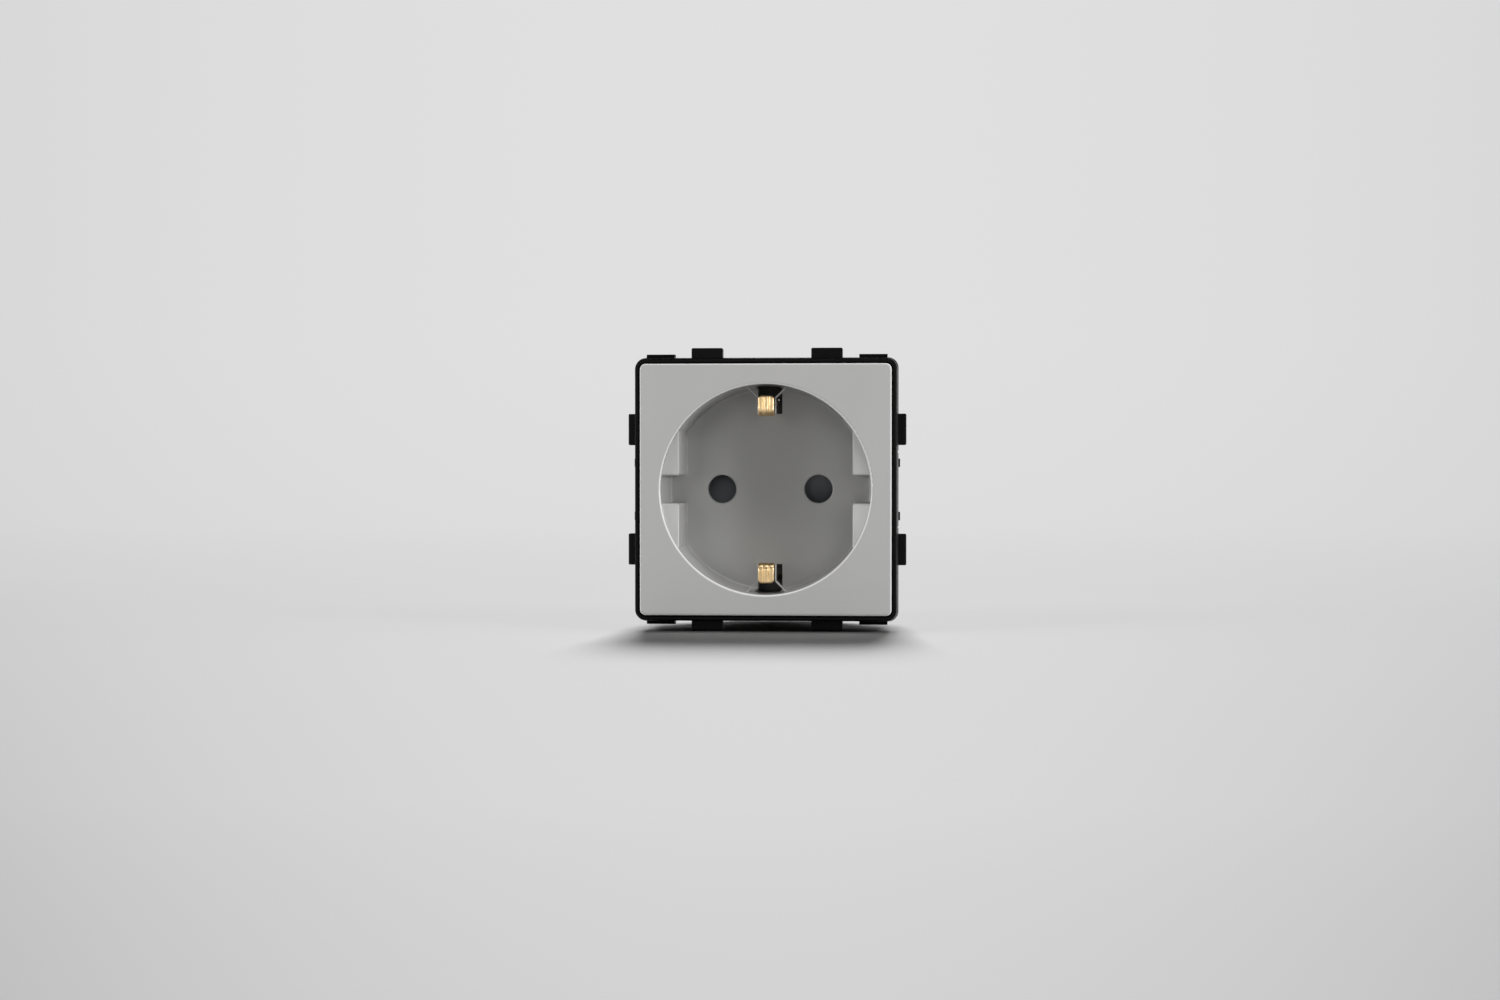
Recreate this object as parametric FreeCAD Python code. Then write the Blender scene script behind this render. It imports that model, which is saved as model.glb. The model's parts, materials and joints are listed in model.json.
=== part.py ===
import FreeCAD, Part
import math
import os

# Wall socket insert with a round recess, two pin holes, side earth clips and a rotary safety shutter.
# Millimetres. X to the right and Z up, seen from the room, and Y into the wall.
# The origin lies on the socket's axis in the mounting plane, the rear face of the stop lugs.

V = FreeCAD.Vector
INTO_WALL = V(0, 1, 0)
OUT_RIGHT = V(1, 0, 0)
CENTRE = V(0, 0, 0)

# How far a cutting shape runs past what it cuts, and how far one solid sinks into another to join it
PAST = 1.0
SINK = 0.5

# Recess for the plug
RECESS_R = 20.0
RECESS_DEPTH = 17.5
RECESS_DRAFT = 0.2
RECESS_RIM_R = 0.45
CUP_WALL = 1.3
CUP_FLOOR = 2.0
FLOOR_FILLET = 0.4

# Ledges at the sides of the recess, each with a coding notch
LEDGE_WIDTH = 3.5
LEDGE_BELOW_FACE = 1.0
LEDGE_SLOPE_DEG = 9.0
LEDGE_EDGE_R = 0.5
LEDGE_LIP_R = 0.3
NOTCH_WIDTH = 5.3

# Face plate
FACE_PROUD = 8.0
PLATE_MARGIN = 3.9
PLATE_THICK = 2.2
PLATE_CORNER_R = 1.1
PLATE_EDGE_R = 0.35

# Pins of the plug and their holes
PIN_SPACING = 19.0
PIN_R = 2.4
PIN_CLEARANCE = 0.35
PIN_HOLE_CHAMFER = 0.2

# Slots for the earth clips, and the cheeks that guard the clips. Insets are from the recess wall.
SLOT_WIDTH = 4.7
SLOT_INSET = 5.2
SLOT_BELOW_FACE = 7.6
SLOT_PAST_CUP = 0.05
SLEEVE_WALL = 0.8
SLEEVE_GAP = 0.1
SLEEVE_OUTER_INSET = 0.1
CHEEK_GAP = 1.58
CHEEK_THICK = 0.22
CHEEK_EDGE_R = 0.08
CHEEK_BELOW_FACE = 4.5
CHEEK_DEPTH = 2.5
CHEEK_INSET = 5.7
CHEEK_FLARE_INSET = 2.4

# Carrier frame
FRAME_LIP_WALL = 0.77
FRAME_FLARE = 0.35
FRAME_CORNER_R = 2.0
FRAME_BELOW_FACE = 0.5
FRAME_FLARE_DEPTH = 4.0
FRAME_PLATE_GAP = 0.18
FRAME_CUP_GAP = 0.9
FRAME_OPENING_R = 3.0
FRAME_LIP_R = 0.3
FRAME_SEAT_DEPTH = 0.6
FRAME_SEAT_GAP = 0.15
FRAME_SEAT_R = 1.0

# Stop lugs, corner pads and latch noses of the frame, as they stand out from its sides
SIDE_LUG_PROUD = 1.5
END_LUG_PROUD = 1.95
LUG_WIDTH = 6.0
LUG_THICK = 2.3
LUG_SPACING = 23.0
LUG_EDGE_R = 0.3
PAD_PROUD = 0.7
PAD_WIDTH = 5.4
PAD_FROM_CORNER = 2.1
PAD_LENGTH = 3.2
NOSE_PROUD = 0.3
NOSE_SPACING = 10.2
NOSE_HEIGHT = 1.6
NOSE_LENGTH = 2.6
TONGUE_WIDTH = 14.4
TONGUE_SLIT = 0.5
TONGUE_LENGTH = 4.6

# Rear housing
HOUSING_WALL = 2.3
HOUSING_CORNER_WALL = 1.3
HOUSING_DRAFT = 0.5
HOUSING_EDGE = 1.2
EAR_MARGIN = 1.4
EAR_EDGE = 0.5
REAR_WALL = 2.0
CUP_CLEARANCE = 0.4
RIB_WIDTH = 1.2
RIB_DEPTH = 0.9
RIB_PITCH = 4.0
GROOVES = 4
GROOVE_Y = 3.0
GROOVE_LENGTH = 13.0
CORE_R = 3.4
CORE_INSET = 5.0
CORE_DEPTH = 11.5
CENTRE_CORE_R = 3.8
CENTRE_CORE_DEPTH = 7.0
CORE_EDGE = 0.4

# Screws that hold the housing, the frame and the cover together
BOSS_CUP_GAP = 1.5
BOSS_R = 2.5
BOSS_INTO_HOUSING = 4.0
BOSS_CLEARANCE = 0.15
SCREW_R = 1.2
SCREW_HEAD_R = 2.2
SCREW_HEAD_THICK = 1.6
SCREW_HEAD_EDGE_R = 0.4
SCREW_SEAT_Y = 9.0
SCREW_BITE = 7.0
PILOT_DEPTH = 8.0
CROSS_WIDTH = 0.7
CROSS_DEPTH = 0.9
CROSS_REACH = 1.2

# Safety shutter and the base that carries it
CHAMBER_DEPTH = 4.0
BASE_THICK = 1.5
BASE_RIM_WALL = 1.2
BASE_FUNNEL = 0.6
SHUTTER_PLAY = 0.15
SHUTTER_PAST_PIN = 3.7
SHUTTER_HALF_DEG = 18.5
SHUTTER_THIN = 0.9
SHUTTER_TRAVEL_DEG = 36.0
HUB_R = 5.4
PIVOT_R = 2.0
PIVOT_CLEARANCE = 0.06
STOP_R = 0.8
STOP_INSET = 1.6
STOP_GAP_DEG = 0.8
SPRING_COIL_R = 3.6
SPRING_WIRE_R = 0.2
SPRING_PITCH = 0.55
SPRING_WHOLE_TURNS = 3
SPRING_ROOM = 0.25
SPRING_ANCHOR_R = 5.0
SPRING_LEG_DEG = 108.0
SPRING_LEG_END_R = 8.6
SPRING_POST_R = 0.7
SPRING_POST_HEIGHT = 1.8
WINDOW_MARGIN_DEG = 8.0

# Earth yoke. Insets are from the recess wall.
STRIP_THICK = 0.8
YOKE_WIDTH = 8.0
YOKE_GROOVE_GAP = 0.1
YOKE_TAIL_INSET = 3.15
YOKE_SHOULDER = 2.0
YOKE_CORNER_R = 1.0
CLIP_WIDTH = 2.95
CLIP_LEG_INSET = 2.55
CLIP_TIP_INSET = 2.15
CLIP_BOW_INSET = 5.85
CLIP_CLEARANCE = 0.25
CLIP_BELOW_FACE = 2.2
CLIP_BEND_R = 0.95
CLIP_TIP_DROP = 0.15
CLIP_LEG_BEND_R = 8.0
CLIP_LEG_BELOW_FLOOR = 0.5
CLIP_HEEL_R = 1.0
CLIP_END_CORNER_R = 0.6
CLIP_LINE_X = 0.5
CLIP_LINE_WIDTH = 0.2
CLIP_LINE_DEPTH = 0.12
YOKE_SCREW_Z = 9.0
YOKE_SCREW_R = 1.1
YOKE_SCREW_HEAD_R = 1.9
YOKE_SCREW_LENGTH = 5.0

# Pin contacts with their grip springs
CONTACT_THICK = 0.6
CONTACT_WIDTH = 5.0
CONTACT_PINCH = 0.2
CONTACT_MOUTH = 3.0
CONTACT_WAIST_LENGTH = 3.4
CONTACT_START = 1.2
CONTACT_FLARE = 2.2
CONTACT_SHOULDER = 2.5
CONTACT_HEEL = 3.7
CONTACT_BEND_R = 0.8
CONTACT_GAP = 0.25
GRIP_THICK = 0.4
GRIP_WIDTH = 2.8
GRIP_SLIT = 2.4

# Screw terminals, and where each lies round the axis
POLE_DEGREES = {"line": 0, "earth": 90, "neutral": 180}
CAGE_CONTACT_GAP = 1.0
CAGE_WALL = 1.3
CAGE_WIDTH = 7.2
CAGE_LENGTH = 7.4
CAGE_CLEARANCE = 0.1
CAGE_CORNER_R = 0.4
TAIL_PLAY = 0.1
CLAMP_THICK = 0.8
CLAMP_LENGTH = 5.4
CLAMP_PLAY = 0.2
CLAMP_LIFT = 0.3
WIRE_HOLE_R = 1.7
WIRE_HOLE_GAP = 0.05
WIRE_FUNNEL = 0.9
TERMINAL_SCREW_R = 1.5
TERMINAL_HEAD_R = 2.8
TERMINAL_HEAD_THICK = 1.9
TERMINAL_HEAD_GAP = 0.6
TERMINAL_HEAD_EDGE_R = 0.5
TERMINAL_CROSS_REACH = 1.6
TERMINAL_SLOT = 0.7
TERMINAL_WINDOW_R = 3.4

# Radii and widths, worked out from the sizes above
PIN_X = PIN_SPACING / 2
PIN_HOLE_R = PIN_R + PIN_CLEARANCE
CUP_R = RECESS_R + CUP_WALL
BORE_R = CUP_R + CUP_CLEARANCE
LEDGE_X = RECESS_R - LEDGE_WIDTH
SLOT_INNER_R = RECESS_R - SLOT_INSET
CHEEK_INNER_R = RECESS_R - CHEEK_INSET
CHEEK_FLARE_R = RECESS_R - CHEEK_FLARE_INSET
PLATE_SIZE = 2 * (RECESS_R + PLATE_MARGIN)
POCKET_SIZE = PLATE_SIZE + 2 * FRAME_PLATE_GAP
FRAME_LIP_SIZE = POCKET_SIZE + 2 * FRAME_LIP_WALL
FRAME_SIZE = FRAME_LIP_SIZE + 2 * FRAME_FLARE
FRAME_OPENING = 2 * (CUP_R + FRAME_CUP_GAP)
HOUSING_SIZE = 2 * (BORE_R + HOUSING_WALL)
BOSS_CIRCLE_R = CUP_R + BOSS_CUP_GAP + BOSS_R
BOSS_XZ = BOSS_CIRCLE_R / math.sqrt(2)
CLIP_LEG_R = RECESS_R - CLIP_LEG_INSET
CLIP_TIP_R = RECESS_R - CLIP_TIP_INSET
CLIP_BOW_R = RECESS_R - CLIP_BOW_INSET
SHUTTER_R = PIN_X + SHUTTER_PAST_PIN
STOP_CIRCLE_R = SHUTTER_R - STOP_INSET
CONTACT_WAIST = PIN_R - CONTACT_PINCH
TAIL_WIDTH = CAGE_WIDTH - 2 * CAGE_WALL - 2 * TAIL_PLAY
WIRE_ROOM = 2 * (WIRE_HOLE_R + WIRE_HOLE_GAP)
CAGE_INNER_X = PIN_X + CONTACT_WIDTH / 2 + CAGE_CONTACT_GAP
TAIL_X = CAGE_INNER_X + CAGE_WALL
WIRE_X = TAIL_X + CONTACT_THICK + WIRE_ROOM / 2
CLAMP_X = TAIL_X + CONTACT_THICK + WIRE_ROOM
CAGE_OUTER_X = CLAMP_X + CLAMP_THICK + CLAMP_LIFT + CAGE_WALL
YOKE_TAIL_Z = CLIP_LEG_R - YOKE_TAIL_INSET
POLE_SHIFTS = {"line": 0, "earth": YOKE_TAIL_Z - TAIL_X, "neutral": 0}
CORE_CIRCLE_R = BORE_R - CORE_INSET

# Planes along the depth, worked out from the sizes above
FACE_Y = -FACE_PROUD
PLATE_REAR_Y = FACE_Y + PLATE_THICK
FLOOR_Y = FACE_Y + RECESS_DEPTH
CUP_REAR_Y = FLOOR_Y + CUP_FLOOR
BASE_Y = CUP_REAR_Y + CHAMBER_DEPTH
SHUTTER_FRONT_Y = CUP_REAR_Y + SHUTTER_PLAY
SHUTTER_REAR_Y = BASE_Y - SHUTTER_PLAY
SHOULDER_Y = BASE_Y + BASE_THICK
YOKE_REAR_Y = SHOULDER_Y + STRIP_THICK
CONTACT_FRONT_Y = SHOULDER_Y + CONTACT_START
WAIST_Y = CONTACT_FRONT_Y + CONTACT_FLARE
WAIST_END_Y = WAIST_Y + CONTACT_WAIST_LENGTH
HOUSING_FRONT_Y = -FRAME_SEAT_DEPTH
REAR_INNER_Y = WAIST_END_Y + CONTACT_SHOULDER + CONTACT_HEEL
HOUSING_DEPTH = REAR_INNER_Y + REAR_WALL
CAGE_REAR_Y = REAR_INNER_Y - CONTACT_THICK - CONTACT_BEND_R
CAGE_FRONT_Y = CAGE_REAR_Y - CAGE_LENGTH
TERMINAL_Y = (CAGE_FRONT_Y + CAGE_REAR_Y) / 2

# The torsion spring in its pocket in the shutter's hub
SPRING_TURNS = SPRING_WHOLE_TURNS - SPRING_LEG_DEG / 360
SPRING_HEIGHT = SPRING_TURNS * SPRING_PITCH
SPRING_LAST_Y = SHUTTER_REAR_Y - SPRING_ROOM - SPRING_WIRE_R
SPRING_FIRST_Y = SPRING_LAST_Y - SPRING_HEIGHT
POCKET_Y = SPRING_FIRST_Y - SPRING_WIRE_R - SPRING_ROOM / 2
POCKET_OUTER_R = SPRING_COIL_R + SPRING_WIRE_R + SPRING_ROOM
POCKET_INNER_R = SPRING_COIL_R - SPRING_WIRE_R - SPRING_ROOM


def box(x0, x1, y0, y1, z0, z1):
    return Part.makeBox(x1 - x0, y1 - y0, z1 - z0, V(x0, y0, z0))


def rod(radius, y0, y1, x=0.0, z=0.0):
    """Round bar along Y."""
    return Part.makeCylinder(radius, y1 - y0, V(x, y0, z), INTO_WALL)


def taper(radius0, radius1, y0, y1, x=0.0, z=0.0):
    """Round cone along Y."""
    return Part.makeCone(radius0, radius1, y1 - y0, V(x, y0, z), INTO_WALL)


def turned(shape, degrees):
    """A copy turned about the socket's axis, counter-clockwise as seen from the room."""
    copy = shape.copy()
    copy.rotate(CENTRE, -INTO_WALL, degrees)
    return copy


def at_pole(shape, pole):
    """A copy of a piece of the line pole, moved and turned to its place at another pole."""
    copy = shape.copy()
    copy.translate(V(POLE_SHIFTS[pole], 0, 0))
    return turned(copy, POLE_DEGREES[pole])


def mirrored_x(shape):
    return shape.mirror(CENTRE, V(1, 0, 0))


def on_corner_screws(shape_at):
    """One shape on each of the four corner screws; shape_at takes the screw's X and Z."""
    return [shape_at(x, z) for x in (-BOSS_XZ, BOSS_XZ) for z in (-BOSS_XZ, BOSS_XZ)]


def fused(shapes):
    return shapes[0].fuse(shapes[1:]).removeSplitter()


def edges_where(shape, test):
    return [edge for edge in shape.Edges if test(edge)]


def lies_in_y(edge, y):
    box_of_edge = edge.BoundBox
    return abs(box_of_edge.YMin - y) < 1e-4 and abs(box_of_edge.YMax - y) < 1e-4


def runs_along(edge, axis):
    """True for a straight edge parallel to an axis."""
    if not isinstance(edge.Curve, (Part.Line, Part.LineSegment)):
        return False
    return abs(abs(edge.tangentAt(edge.FirstParameter).dot(axis)) - 1) < 1e-6


def holds(edges, edge):
    """Whether an edge is among the edges."""
    return any(edge.isSame(e) for e in edges)


def rounded_block(size_x, size_z, y0, y1, corner_r):
    """Block centred on the axis, with its four long edges rounded."""
    block = box(-size_x / 2, size_x / 2, y0, y1, -size_z / 2, size_z / 2)
    return block.makeFillet(corner_r, edges_where(block, lambda e: runs_along(e, INTO_WALL)))


def outline_at(shape, y):
    """The outer wire of the face that lies in the plane at y."""
    flat = [f for f in shape.Faces if abs(f.BoundBox.YMin - y) < 1e-4 and abs(f.BoundBox.YMax - y) < 1e-4]
    return max(flat, key=lambda f: f.Area).OuterWire


def bent_path(points, radii):
    """Straight runs joined by tangent arcs. Each inner point has one radius."""
    edges = []
    start = points[0]
    for before, corner, after, radius in zip(points, points[1:], points[2:], radii):
        back = (before - corner).normalize()
        ahead = (after - corner).normalize()
        half = back.getAngle(ahead) / 2
        reach = radius / math.tan(half)
        arc_start = corner + back * reach
        arc_end = corner + ahead * reach
        inward = (back + ahead).normalize()
        arc_middle = corner + inward * (radius / math.sin(half) - radius)
        edges.append(Part.LineSegment(start, arc_start).toShape())
        edges.append(Part.Arc(arc_start, arc_middle, arc_end).toShape())
        start = arc_end
    edges.append(Part.LineSegment(start, points[-1]).toShape())
    return Part.Wire(edges)


def folded_strip(points, radii, thick, width):
    """A strip bent along a path, as thick on each side of it, and as wide across it."""
    path = bent_path(points, radii)
    across = (points[1] - points[0]).cross(points[2] - points[1]).normalize()
    section_up = (points[1] - points[0]).cross(across).normalize() * (thick / 2)
    side = across * (width / 2)
    corners = [points[0] + section_up + side, points[0] - section_up + side]
    corners += [points[0] - section_up - side, points[0] + section_up - side]
    section = Part.makePolygon(corners + corners[:1])
    return path.makePipeShell([section], True, True)


def sector(inner_r, outer_r, half_deg, y0, y1):
    """Part of a ring, centred on +X."""
    half = math.radians(half_deg)

    def at(radius, angle):
        return V(radius * math.cos(angle), y0, radius * math.sin(angle))

    edges = [
        Part.Arc(at(outer_r, -half), at(outer_r, 0), at(outer_r, half)).toShape(),
        Part.LineSegment(at(outer_r, half), at(inner_r, half)).toShape(),
        Part.Arc(at(inner_r, half), at(inner_r, 0), at(inner_r, -half)).toShape(),
        Part.LineSegment(at(inner_r, -half), at(outer_r, -half)).toShape(),
    ]
    return Part.Face(Part.Wire(edges)).extrude(V(0, y1 - y0, 0))


# Front cover

def cover_shell():
    """Face plate with the cup of the recess, its rim, its floor and its outer edge rounded."""
    plate = rounded_block(PLATE_SIZE, PLATE_SIZE, FACE_Y, PLATE_REAR_Y, PLATE_CORNER_R)
    plate = plate.makeFillet(PLATE_EDGE_R, edges_where(plate, lambda e: lies_in_y(e, FACE_Y)))
    shell = plate.fuse(rod(CUP_R, FACE_Y + PLATE_THICK / 2, CUP_REAR_Y)).removeSplitter()
    shell = shell.cut(taper(RECESS_R, RECESS_R - RECESS_DRAFT, FACE_Y, FLOOR_Y))
    rim = edges_where(shell, lambda e: lies_in_y(e, FACE_Y) and e.BoundBox.XMax < RECESS_R + 0.01)
    shell = shell.makeFillet(RECESS_RIM_R, rim)
    foot = edges_where(shell, lambda e: lies_in_y(e, FLOOR_Y))
    return shell.makeFillet(FLOOR_FILLET, foot)


def ledge():
    """Upper right ledge of the recess. Its face slopes to the axis, as a lead-in for the plug."""
    rim_y = FACE_Y + LEDGE_BELOW_FACE
    block = box(LEDGE_X, CUP_R, FACE_Y, FLOOR_Y + SINK, NOTCH_WIDTH / 2, RECESS_R)
    upright = edges_where(block, lambda e: runs_along(e, INTO_WALL))
    corner = [e for e in upright if e.BoundBox.XMax < LEDGE_X + SINK and e.BoundBox.ZMax < NOTCH_WIDTH]
    block = block.makeFillet(LEDGE_EDGE_R, corner)
    block = block.common(rod(RECESS_R + CUP_WALL / 2, FACE_Y, CUP_REAR_Y))
    per_depth = 1 / math.tan(math.radians(LEDGE_SLOPE_DEG))
    room = taper(RECESS_R + (rim_y - FACE_Y) * per_depth, 0, FACE_Y, rim_y + RECESS_R / per_depth)
    block = block.cut(room)
    inner = edges_where(block, lambda e: slopes_by_recess(e, rim_y))
    return block.makeFillet(LEDGE_LIP_R, inner)


def slopes_by_recess(edge, rim_y):
    """True for the edges of a ledge's face that the plug passes."""
    bounds = edge.BoundBox
    shallow = bounds.YMax < rim_y + LEDGE_WIDTH
    beside_notch = bounds.ZMax < NOTCH_WIDTH / 2 + LEDGE_EDGE_R + SINK
    beside_plug = bounds.XMax < LEDGE_X + LEDGE_EDGE_R + SINK
    return shallow and (beside_notch or beside_plug)


def guard_cheek():
    """Thin rib beside the upper clip on the right, which flares out to the recess wall."""
    inner = CHEEK_GAP
    outer = CHEEK_GAP + CHEEK_THICK
    wall_r = RECESS_R + CUP_WALL / 2
    flare = wall_r - CHEEK_FLARE_R
    y0 = FACE_Y + CHEEK_BELOW_FACE
    corners = [
        V(inner, y0, CHEEK_INNER_R),
        V(outer, y0, CHEEK_INNER_R),
        V(outer, y0, CHEEK_FLARE_R - CHEEK_THICK / 2),
        V(outer + flare, y0, wall_r - CHEEK_THICK / 2),
        V(inner + flare, y0, wall_r),
        V(inner, y0, CHEEK_FLARE_R),
    ]
    rib = Part.Face(Part.makePolygon(corners + corners[:1])).extrude(V(0, CHEEK_DEPTH, 0))
    rib = rib.makeFillet(CHEEK_EDGE_R, edges_where(rib, lambda e: lies_in_y(e, y0)))
    return rib.common(rod(wall_r, FACE_Y, FLOOR_Y))


def slot_sleeve():
    """Wall round the upper slot behind the recess floor, which shuts it off from the shutter."""
    half = SLOT_WIDTH / 2 + SLEEVE_WALL
    block = box(-half, half, CUP_REAR_Y - SINK, BASE_Y - SLEEVE_GAP, SLOT_INNER_R - SLEEVE_WALL, RECESS_R)
    return block.common(rod(RECESS_R - SLEEVE_OUTER_INSET, FLOOR_Y, BASE_Y))


def make_front_cover():
    cover = cover_shell()
    right_ledges = [ledge(), ledge().mirror(CENTRE, V(0, 0, 1))]
    ledges = right_ledges + [mirrored_x(one) for one in right_ledges]
    bosses = on_corner_screws(lambda x, z: rod(BOSS_R, PLATE_REAR_Y - SINK, BOSS_INTO_HOUSING, x, z))
    sleeves = [slot_sleeve(), turned(slot_sleeve(), 180)]
    cover = cover.fuse(ledges + bosses + sleeves).removeSplitter()
    half = SLOT_WIDTH / 2
    slot = box(-half, half, FACE_Y + SLOT_BELOW_FACE, BASE_Y + PAST, SLOT_INNER_R, CUP_R + PAST)
    slot = slot.common(rod(CUP_R + SLOT_PAST_CUP, FACE_Y, BASE_Y + 2 * PAST))
    cuts = [slot, turned(slot, 180)]
    for sx in (-1, 1):
        x = sx * PIN_X
        cuts.append(rod(PIN_HOLE_R, FLOOR_Y - PAST, CUP_REAR_Y + PAST, x))
        rim_r = PIN_HOLE_R + PIN_HOLE_CHAMFER
        cuts.append(taper(rim_r, PIN_HOLE_R, FLOOR_Y, FLOOR_Y + PIN_HOLE_CHAMFER, x))
    pilot_y = BOSS_INTO_HOUSING - PILOT_DEPTH
    cuts += on_corner_screws(lambda x, z: rod(SCREW_R, pilot_y, BOSS_INTO_HOUSING + PAST, x, z))
    cover = cover.cut(cuts)
    cheeks = [guard_cheek(), mirrored_x(guard_cheek())]
    cheeks += [turned(one, 180) for one in cheeks]
    return cover.fuse(cheeks).removeSplitter()


# Carrier frame

def frame_ring():
    """Square ring that flares from its lip and holds the face plate on a ledge."""
    lip_y = FACE_Y + FRAME_BELOW_FACE
    flare_y = lip_y + FRAME_FLARE_DEPTH
    front = outline_at(rounded_block(FRAME_LIP_SIZE, FRAME_LIP_SIZE, lip_y, 0, FRAME_CORNER_R), lip_y)
    wide = rounded_block(FRAME_SIZE, FRAME_SIZE, flare_y, 0, FRAME_CORNER_R)
    ring = Part.makeLoft([front, outline_at(wide, flare_y)], True, True).fuse(wide).removeSplitter()
    pocket_r = PLATE_CORNER_R + FRAME_PLATE_GAP
    pocket = rounded_block(POCKET_SIZE, POCKET_SIZE, lip_y - PAST, PLATE_REAR_Y, pocket_r)
    opening = rounded_block(FRAME_OPENING, FRAME_OPENING, lip_y - PAST, PAST, FRAME_OPENING_R)
    seat_size = HOUSING_SIZE + 2 * FRAME_SEAT_GAP
    seat = rounded_block(seat_size, seat_size, HOUSING_FRONT_Y, PAST, FRAME_SEAT_R)
    ring = ring.cut([pocket, opening, seat])
    return ring.makeFillet(FRAME_LIP_R, edges_where(ring, lambda e: lies_in_y(e, lip_y)))


def stop_lug(z, proud):
    """Lug on the right side at a height, with its outer edges rounded."""
    reach = FRAME_SIZE / 2 + proud
    lug = box(FRAME_SIZE / 2 - SINK, reach, -LUG_THICK, 0, z - LUG_WIDTH / 2, z + LUG_WIDTH / 2)
    outer = edges_where(lug, lambda e: e.BoundBox.XMin > reach - 0.01 and e.BoundBox.YMin < -0.01)
    return lug.makeFillet(LUG_EDGE_R, outer)


def ramped_pad(x0, x1, y_length, proud):
    """Pad on the upper side whose front end ramps up from the frame."""
    base = FRAME_SIZE / 2
    section = [
        V(x0, -y_length, base - SINK),
        V(x0, -y_length, base),
        V(x0, -y_length + proud, base + proud),
        V(x0, 0, base + proud),
        V(x0, 0, base - SINK),
    ]
    return Part.Face(Part.makePolygon(section + section[:1])).extrude(V(x1 - x0, 0, 0))


def make_carrier_frame():
    lugs = []
    for side in (-1, 1):
        lug_z = side * LUG_SPACING / 2
        lugs += [turned(stop_lug(lug_z, SIDE_LUG_PROUD), degrees) for degrees in (0, 180)]
        lugs += [turned(stop_lug(lug_z, END_LUG_PROUD), degrees) for degrees in (90, 270)]
    pad_x = FRAME_SIZE / 2 - PAD_FROM_CORNER
    pad = ramped_pad(pad_x - PAD_WIDTH, pad_x, PAD_LENGTH, PAD_PROUD)
    pads = [pad, mirrored_x(pad), turned(pad, 180), turned(mirrored_x(pad), 180)]
    noses = []
    slits = []
    for side in (-1, 1):
        nose_x = side * NOSE_SPACING / 2
        nose = ramped_pad(nose_x - NOSE_HEIGHT / 2, nose_x + NOSE_HEIGHT / 2, NOSE_LENGTH, NOSE_PROUD)
        noses += [turned(nose, 90), turned(nose, -90)]
        slit_x = side * TONGUE_WIDTH / 2
        half = TONGUE_SLIT / 2
        slit = box(slit_x - half, slit_x + half, -TONGUE_LENGTH, PAST, FRAME_OPENING / 2 - PAST, FRAME_SIZE)
        slits += [turned(slit, 90), turned(slit, -90)]
    return frame_ring().fuse(lugs + pads + noses).cut(slits).removeSplitter()


# Rear housing

def octagon(size, corner_r, y):
    """Square whose corners are cut off at a distance from the axis, as a wire in the plane at y."""
    half = size / 2
    short = corner_r * math.sqrt(2) - half
    corners = [(half, -short), (half, short), (short, half), (-short, half)]
    corners += [(-x, -z) for x, z in corners]
    points = [V(x, y, z) for x, z in corners]
    return Part.makePolygon(points + points[:1])


def housing_block():
    """Eight-sided body with a slight draft, and a flange whose corners are the screw ears."""
    ear_r = BOSS_CIRCLE_R + BOSS_R + EAR_MARGIN
    flange = Part.Face(octagon(HOUSING_SIZE, ear_r, HOUSING_FRONT_Y))
    flange = flange.extrude(V(0, SCREW_SEAT_Y - HOUSING_FRONT_Y, 0))
    ears = edges_where(flange, lambda e: lies_in_y(e, SCREW_SEAT_Y))
    flange = flange.makeChamfer(EAR_EDGE, ears)
    corner_r = BORE_R + HOUSING_CORNER_WALL
    front = octagon(HOUSING_SIZE, corner_r, 0)
    rear = octagon(HOUSING_SIZE - 2 * HOUSING_DRAFT, corner_r - HOUSING_DRAFT, HOUSING_DEPTH)
    body = Part.makeLoft([front, rear], True, True)
    body = body.makeChamfer(HOUSING_EDGE, edges_where(body, lambda e: lies_in_y(e, HOUSING_DEPTH)))
    return flange.fuse(body).removeSplitter()


def coring():
    """Blind holes in the rear that keep the moulding's walls even."""
    core = rod(CORE_R, HOUSING_DEPTH - CORE_DEPTH, HOUSING_DEPTH + PAST, CORE_CIRCLE_R)
    edge = taper(CORE_R, CORE_R + CORE_EDGE, HOUSING_DEPTH - CORE_EDGE, HOUSING_DEPTH, CORE_CIRCLE_R)
    cores = [turned(shape, degrees) for shape in (core, edge) for degrees in (45, 135, 225, 270, 315)]
    cores.append(rod(CENTRE_CORE_R, HOUSING_DEPTH - CENTRE_CORE_DEPTH, HOUSING_DEPTH + PAST))
    cores.append(taper(CENTRE_CORE_R, CENTRE_CORE_R + CORE_EDGE, HOUSING_DEPTH - CORE_EDGE, HOUSING_DEPTH))
    return cores


def side_grooves():
    """Grooves in the right side that leave ribs between them."""
    floor_x = HOUSING_SIZE / 2 - RIB_DEPTH
    half = (RIB_PITCH - RIB_WIDTH) / 2
    grooves = []
    for step in range(GROOVES):
        z = (step - (GROOVES - 1) / 2) * RIB_PITCH
        grooves.append(box(floor_x, HOUSING_SIZE, GROOVE_Y, GROOVE_Y + GROOVE_LENGTH, z - half, z + half))
    return grooves


def contact_pocket():
    """Room for the line contact, its grip spring and its tail."""
    room = CONTACT_MOUTH + CONTACT_THICK + GRIP_THICK + CONTACT_GAP
    across = CONTACT_WIDTH / 2 + GRIP_THICK + CONTACT_GAP
    pocket = box(PIN_X - across, PIN_X + across, SHOULDER_Y - PAST, REAR_INNER_Y, -room, room)
    half = TAIL_WIDTH / 2 + CONTACT_GAP
    tail = box(PIN_X, TAIL_X + CONTACT_THICK + CONTACT_GAP, CAGE_FRONT_Y - PAST, REAR_INNER_Y, -half, half)
    return pocket.fuse(tail)


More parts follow.
